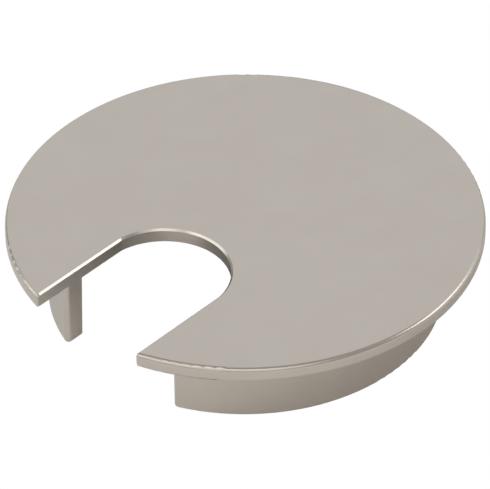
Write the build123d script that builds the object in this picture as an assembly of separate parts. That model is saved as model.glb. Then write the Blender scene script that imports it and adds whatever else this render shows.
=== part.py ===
from build123d import *
import math
import os

# Cable grommet for a round hole in a desk top.
# Millimetres, +Z up. The origin is on the axis of the hole, in the plane of the desk
# top. The cable slot opens towards -Y.

# Desk hole and flange
hole_diameter = 63.5
hole_clearance = 0.1          # radial, between skirt and hole
flange_overlap = 6.35         # how far the flange reaches past the edge of the hole
flange_thickness = 2.6

# Cable slot: straight sides that run into a round inner end, bored a little larger
slot_width = 21.0
slot_end_relief = 0.24        # the round inner end is this much wider than the slot
slot_end_reach = 8.4          # from the axis to the inner end of the slot

# Skirt: a ring under the flange, open where the slot is
skirt_height = 12.1
skirt_wall = 3.2              # at the free edge
skirt_draft = 1.5             # degrees, on the inner face only
skirt_gap_margin = 0.05       # flat left between the slot's chamfer and the fillet at the root

# Edges and corners of the casting
rim_edge_radius = 0.7         # top and bottom edge of the flange's rim
slot_edge_chamfer = 0.3       # all round each wall of the slot, 45 degrees
slot_blend_radius = 1.5       # where the straight sides run into the round end
skirt_corner_radius = 0.7     # upright corners at the gap
skirt_edge_radius = 0.6       # free edge of the skirt
root_radius = 0.4             # where the skirt meets the flange

# Shallow round marks that the mould's ejector pins leave on the underside of the flange
ejector_mark_diameter = 5.0
ejector_mark_depth = 0.15
ejector_mark_inset = 5.0      # from the fillet at the root of the skirt
ejector_mark_angles = (-15, 60, 120, 195)  # degrees from +X

# Gasket: a flat ring stuck to the underside of the flange
gasket_thickness = 0.8
gasket_rim_setback = 1.8      # from the flange's rim
gasket_skirt_clearance = 0.5  # from the fillet at the root of the skirt
gasket_slot_setback = 1.2     # from each side of the slot
gasket_corner_radius = 0.8

# Worked out from the sizes above
flange_radius = hole_diameter / 2 + flange_overlap
slot_end_radius = (slot_width + slot_end_relief) / 2
slot_end_y = -(slot_end_reach + slot_end_radius)
skirt_radius = hole_diameter / 2 - hole_clearance
skirt_tip_inner_radius = skirt_radius - skirt_wall
skirt_draft_offset = skirt_height * math.tan(math.radians(skirt_draft))
skirt_root_inner_radius = skirt_tip_inner_radius - skirt_draft_offset
skirt_gap_step = slot_edge_chamfer + root_radius + skirt_gap_margin
skirt_gap_width = slot_width + 2 * skirt_gap_step
underside_z = gasket_thickness
top_z = underside_z + flange_thickness
skirt_tip_z = underside_z - skirt_height
ejector_mark_radius = ejector_mark_diameter / 2
ejector_circle_radius = (
    skirt_root_inner_radius - root_radius - ejector_mark_inset - ejector_mark_radius
)
gasket_radius = flange_radius - gasket_rim_setback
gasket_inner_radius = skirt_radius + root_radius + gasket_skirt_clearance
gasket_gap_width = slot_width + 2 * gasket_slot_setback

from_centre_up = (Align.CENTER, Align.CENTER, Align.MIN)
from_centre_forward = (Align.CENTER, Align.MAX, Align.MIN)
seam_in_slot = Rot(0, 0, -90)  # turns the seam of a round face to -Y, where the slot is


def disc(radius, low_z, high_z):
    return Pos(0, 0, low_z) * seam_in_slot * Cylinder(radius, high_z - low_z, align=from_centre_up)


def straight_gap(width, start_y, low_z, high_z):
    """A block that runs from start_y towards -Y, out past the rim."""
    block = Box(width, 2 * flange_radius, high_z - low_z, align=from_centre_forward)
    return Pos(0, start_y, low_z) * block


def is_upright(edge):
    return edge.geom_type == GeomType.LINE and abs(edge.tangent_at(0.5).Z) > 0.9


def upright_edges(shape):
    return shape.edges().filter_by(is_upright)


def make_slot():
    bore = Pos(0, slot_end_y, 0) * disc(slot_end_radius, underside_z, top_z)
    slot = bore & straight_gap(slot_width, 0, underside_z, top_z)
    slot += straight_gap(slot_width, slot_end_y, underside_z, top_z)
    blends = upright_edges(slot).group_by(Axis.Y)[-1]
    return fillet(blends, slot_blend_radius)


def make_flange():
    flange = disc(flange_radius, underside_z, top_z)
    flange = fillet(flange.edges().filter_by(GeomType.CIRCLE), rim_edge_radius)
    slot = make_slot()
    flange -= slot
    walls = flange.edges().filter_by(lambda edge: slot.distance_to(edge @ 0.5) < 0.001)
    # The rest of each wall's outline is tangent to its top edge, so the cut runs all round
    return chamfer(walls.group_by(Axis.Z)[-1], slot_edge_chamfer)


def make_skirt():
    hollow = Cone(
        skirt_tip_inner_radius,
        skirt_root_inner_radius,
        skirt_height,
        align=from_centre_up,
    )
    skirt = disc(skirt_radius, skirt_tip_z, underside_z)
    skirt -= Pos(0, 0, skirt_tip_z) * seam_in_slot * hollow
    skirt -= straight_gap(skirt_gap_width, 0, skirt_tip_z, underside_z)
    skirt = fillet(upright_edges(skirt), skirt_corner_radius)
    return fillet(skirt.edges().group_by(Axis.Z)[0], skirt_edge_radius)


def make_body():
    """The casting: flange and skirt in one, with a fillet all round the skirt's root."""
    skirt = make_skirt()
    skirt_top = skirt.faces().sort_by(Axis.Z)[-1]
    body = make_flange() + skirt
    root = body.edges().filter_by(lambda edge: skirt_top.distance_to(edge @ 0.5) < 0.001)
    body = fillet(root, root_radius)
    mark = disc(ejector_mark_radius, underside_z, underside_z + ejector_mark_depth)
    for angle in ejector_mark_angles:
        body -= Rot(0, 0, angle) * Pos(ejector_circle_radius, 0, 0) * mark
    return body


def make_gasket():
    gasket = disc(gasket_radius, 0, underside_z) - disc(gasket_inner_radius, 0, underside_z)
    gasket -= straight_gap(gasket_gap_width, 0, 0, underside_z)
    return fillet(upright_edges(gasket), gasket_corner_radius)


os.makedirs("parts", exist_ok=True)
export_step(make_body(), "parts/grommet_body.step")
export_step(make_gasket(), "parts/seat_gasket.step")
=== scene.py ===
import math

import bpy
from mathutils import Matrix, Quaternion, Vector


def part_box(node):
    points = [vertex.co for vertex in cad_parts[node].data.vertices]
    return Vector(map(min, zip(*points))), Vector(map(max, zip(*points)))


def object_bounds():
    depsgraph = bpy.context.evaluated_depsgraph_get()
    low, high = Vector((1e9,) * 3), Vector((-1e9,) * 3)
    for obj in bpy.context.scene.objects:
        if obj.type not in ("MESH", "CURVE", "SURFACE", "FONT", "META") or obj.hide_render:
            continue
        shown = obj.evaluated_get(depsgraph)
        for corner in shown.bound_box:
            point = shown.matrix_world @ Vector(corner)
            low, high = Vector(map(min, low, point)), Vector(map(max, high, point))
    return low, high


# Desk cable grommet on a pale studio floor. Metres, +Z up, the same frame as the CAD.

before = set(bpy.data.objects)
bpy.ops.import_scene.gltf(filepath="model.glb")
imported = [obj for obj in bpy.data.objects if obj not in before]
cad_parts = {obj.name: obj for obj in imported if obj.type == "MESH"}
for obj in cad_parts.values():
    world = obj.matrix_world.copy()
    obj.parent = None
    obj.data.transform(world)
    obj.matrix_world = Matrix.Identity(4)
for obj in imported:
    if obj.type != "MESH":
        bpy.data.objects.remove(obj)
cad_low, cad_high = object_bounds()
scene = bpy.context.scene

# ---------------------------------------------------------------- camera

SENSOR = 36.0             # mm
LENS = 360.87             # mm
CAM_AZIMUTH = 42.64       # degrees, from -Y towards +X
CAM_ELEVATION = 38.125    # degrees
CAM_DISTANCE = 0.77832    # from the middle of the top face
AIM_FORWARD = 0.007386    # the view's centre, from the middle of the top towards the camera
AIM_RIGHT = -0.000084     # and to the right
CAM_ROLL = -0.551         # degrees

body_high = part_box("grommet_body")[1]
TOP = Vector((0, 0, body_high.z))   # the middle of the top face


def direction(azimuth, elevation):
    """Unit vector towards an azimuth, from -Y towards +X, and elevation, in degrees."""
    a, e = math.radians(azimuth), math.radians(elevation)
    return Vector((math.sin(a) * math.cos(e), -math.cos(a) * math.cos(e), math.sin(e)))


def make_camera():
    data = bpy.data.cameras.new("camera")
    data.sensor_width = SENSOR
    data.lens = LENS
    data.clip_start, data.clip_end = 0.05, 20
    camera = bpy.data.objects.new("camera", data)
    scene.collection.objects.link(camera)
    camera.location = TOP + CAM_DISTANCE * direction(CAM_AZIMUTH, CAM_ELEVATION)
    aim = TOP + AIM_FORWARD * direction(CAM_AZIMUTH, 0)
    aim += AIM_RIGHT * direction(CAM_AZIMUTH + 90, 0)
    camera.rotation_mode = "QUATERNION"
    roll = Quaternion((0, 0, 1), math.radians(CAM_ROLL))
    camera.rotation_quaternion = (aim - camera.location).to_track_quat("-Z", "Y") @ roll
    scene.camera = camera


# ---------------------------------------------------------------- light

WORLD_COLOUR = (0.42, 0.41, 0.405)

# Area lights that face the object. Each row holds the side (azimuth from the camera's,
# positive to the right) and elevation in degrees, the distance and size in metres, and
# the red, green and blue radiance, which is what a perfect mirror would show of it.

# These show in the metal and light the floor.
SOFTBOXES = {
    "left_wall": (-85, 30, 0.9, (1.0, 0.8), (0.64, 0.67, 0.68)),
    "left_strip": (-85, 32, 0.8, (0.7, 0.35), (0.38, 0.40, 0.40)),
    "right_wall": (106, 24, 0.8, (0.7, 0.7), (0.40, 0.41, 0.41)),
    "front_wall": (-14, 41, 0.9, (1.4, 0.9), (0.52, 0.51, 0.48)),
}

# These show in the metal and don't light the floor.
REFLECTORS = {
    "backdrop": (178, 35, 0.9, (1.5, 1.12), (0.36, 0.37, 0.385)),
    "right_strip": (97, 31, 0.8, (0.5, 0.22), (1.7, 1.7, 1.7)),
    "front_strip": (-4, 52, 0.85, (0.4, 0.09), (1.0, 1.0, 0.95)),
}

# These light the floor, which the upright walls mirror, and don't show in the metal.
FLOOR_KEYS = {
    "key_back_left": (-130, 36, 0.9, (0.8, 0.6), (0.60, 0.66, 0.70)),
    "key_left": (-95, 32, 0.9, (0.8, 0.6), (1.60, 1.66, 1.74)),
    "key_front": (8, 26, 0.9, (0.7, 0.5), (2.62, 2.60, 2.57)),
    "key_front_right": (50, 36, 0.9, (0.8, 0.6), (0.30, 0.28, 0.24)),
}


def world_light():
    world = bpy.data.worlds.new("studio")
    scene.world = world
    world.use_nodes = True
    background = world.node_tree.nodes["Background"]
    background.inputs["Color"].default_value = (*WORLD_COLOUR, 1)
    background.inputs["Strength"].default_value = 1.0


def soft_light(name, side, elevation, distance, size, radiance):
    data = bpy.data.lights.new(name, "AREA")
    data.shape = "RECTANGLE"
    data.size, data.size_y = size
    data.color = radiance
    data.energy = math.pi * size[0] * size[1]
    lamp = bpy.data.objects.new(name, data)
    scene.collection.objects.link(lamp)
    towards = direction(CAM_AZIMUTH + side, elevation)
    lamp.location = TOP + towards * distance
    lamp.rotation_mode = "QUATERNION"
    lamp.rotation_quaternion = (-towards).to_track_quat("-Z", "Y")
    return lamp


def make_lights():
    world_light()
    for name, row in SOFTBOXES.items():
        soft_light(name, *row)
    for name, row in REFLECTORS.items():
        soft_light(name, *row).visible_diffuse = False
    for name, row in FLOOR_KEYS.items():
        soft_light(name, *row).visible_glossy = False


# ---------------------------------------------------------------- node helpers

def new_material(name):
    material = bpy.data.materials.new(name)
    material.use_nodes = True
    return material, material.node_tree, material.node_tree.nodes["Principled BSDF"]


def add(tree, kind, **settings):
    node = tree.nodes.new("ShaderNode" + kind)
    for key, value in settings.items():
        setattr(node, key, value)
    return node


def noise(tree, place, scale, detail=2.0, roughness=0.5):
    node = add(tree, "TexNoise")
    node.inputs["Scale"].default_value = scale
    node.inputs["Detail"].default_value = detail
    node.inputs["Roughness"].default_value = roughness
    tree.links.new(place, node.inputs["Vector"])
    return node.outputs["Fac"]


def spread(tree, value, low, high, from_low=0.3, from_high=0.7):
    node = add(tree, "MapRange")
    node.inputs["From Min"].default_value = from_low
    node.inputs["From Max"].default_value = from_high
    node.inputs["To Min"].default_value = low
    node.inputs["To Max"].default_value = high
    tree.links.new(value, node.inputs["Value"])
    return node.outputs["Result"]


def bump(tree, height, distance, strength, before=None):
    node = add(tree, "Bump")
    node.inputs["Strength"].default_value = strength
    node.inputs["Distance"].default_value = distance
    tree.links.new(height, node.inputs["Height"])
    if before is not None:
        tree.links.new(before, node.inputs["Normal"])
    return node.outputs["Normal"]


# ---------------------------------------------------------------- materials

# Noise scales are per metre: 9000 gives grain of about a tenth of a millimetre.
NICKEL_TINT_SCALE = 140
NICKEL_GRAIN_SCALE = 9000
NICKEL_ROLL_SCALE = 260           # the slow waviness that polishing leaves
NICKEL_DARK = (0.597, 0.553, 0.499, 1)
NICKEL_LIGHT = (0.612, 0.568, 0.514, 1)
NICKEL_ROUGHNESS = (0.20, 0.27)
NICKEL_ROLL_DEPTH = 0.00002       # metres
NICKEL_GRAIN_DEPTH = 0.000004

RUBBER_SPECK_SCALE = 5000
RUBBER_DARK = (0.020, 0.020, 0.021, 1)
RUBBER_LIGHT = (0.045, 0.044, 0.043, 1)
RUBBER_ROUGHNESS = (0.62, 0.82)
RUBBER_SPECK_DEPTH = 0.00003

FLOOR_COLOUR = (0.72, 0.70, 0.68, 1)
FLOOR_SIDE = 8.0


def satin_nickel():
    material, tree, shader = new_material("satin_nickel")
    place = add(tree, "TexCoord").outputs["Object"]
    tint = add(tree, "ValToRGB")
    tint.color_ramp.elements[0].position = 0.35
    tint.color_ramp.elements[0].color = NICKEL_DARK
    tint.color_ramp.elements[1].position = 0.65
    tint.color_ramp.elements[1].color = NICKEL_LIGHT
    tree.links.new(noise(tree, place, NICKEL_TINT_SCALE, 4.0), tint.inputs["Fac"])
    tree.links.new(tint.outputs["Color"], shader.inputs["Base Color"])
    shader.inputs["Metallic"].default_value = 1.0
    grain = noise(tree, place, NICKEL_GRAIN_SCALE, 3.0, 0.6)
    tree.links.new(spread(tree, grain, *NICKEL_ROUGHNESS), shader.inputs["Roughness"])
    rolling = bump(tree, noise(tree, place, NICKEL_ROLL_SCALE), NICKEL_ROLL_DEPTH, 0.1)
    fine = bump(tree, grain, NICKEL_GRAIN_DEPTH, 0.35, rolling)
    tree.links.new(fine, shader.inputs["Normal"])
    return material


def gasket_rubber():
    material, tree, shader = new_material("gasket_rubber")
    place = add(tree, "TexCoord").outputs["Object"]
    tint = add(tree, "ValToRGB")
    tint.color_ramp.elements[0].color = RUBBER_DARK
    tint.color_ramp.elements[1].color = RUBBER_LIGHT
    speck = noise(tree, place, RUBBER_SPECK_SCALE, 3.0)
    tree.links.new(speck, tint.inputs["Fac"])
    tree.links.new(tint.outputs["Color"], shader.inputs["Base Color"])
    tree.links.new(spread(tree, speck, *RUBBER_ROUGHNESS), shader.inputs["Roughness"])
    tree.links.new(bump(tree, speck, RUBBER_SPECK_DEPTH, 0.5), shader.inputs["Normal"])
    return material


def floor_material():
    """Pale and matt to everything that mirrors it, plain white straight from the camera."""
    material, tree, shader = new_material("floor")
    shader.inputs["Base Color"].default_value = FLOOR_COLOUR
    shader.inputs["Roughness"].default_value = 0.9
    white = add(tree, "Emission")
    white.inputs["Strength"].default_value = 1.0
    mix = add(tree, "MixShader")
    tree.links.new(add(tree, "LightPath").outputs["Is Camera Ray"], mix.inputs["Fac"])
    tree.links.new(shader.outputs["BSDF"], mix.inputs[1])
    tree.links.new(white.outputs["Emission"], mix.inputs[2])
    tree.links.new(mix.outputs["Shader"], tree.nodes["Material Output"].inputs["Surface"])
    return material


# ---------------------------------------------------------------- scene

def make_floor():
    half = FLOOR_SIDE / 2
    mesh = bpy.data.meshes.new("floor")
    corners = [(-half, -half, 0), (half, -half, 0), (half, half, 0), (-half, half, 0)]
    mesh.from_pydata(corners, [], [(0, 1, 2, 3)])
    floor = bpy.data.objects.new("floor", mesh)
    floor.location.z = cad_low.z
    scene.collection.objects.link(floor)
    mesh.materials.append(floor_material())


def give_material(node, material):
    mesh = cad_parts[node].data
    mesh.materials.clear()
    mesh.materials.append(material)


scene.view_settings.view_transform = "Standard"
make_camera()
make_lights()
make_floor()
give_material("grommet_body", satin_nickel())
give_material("seat_gasket", gasket_rubber())
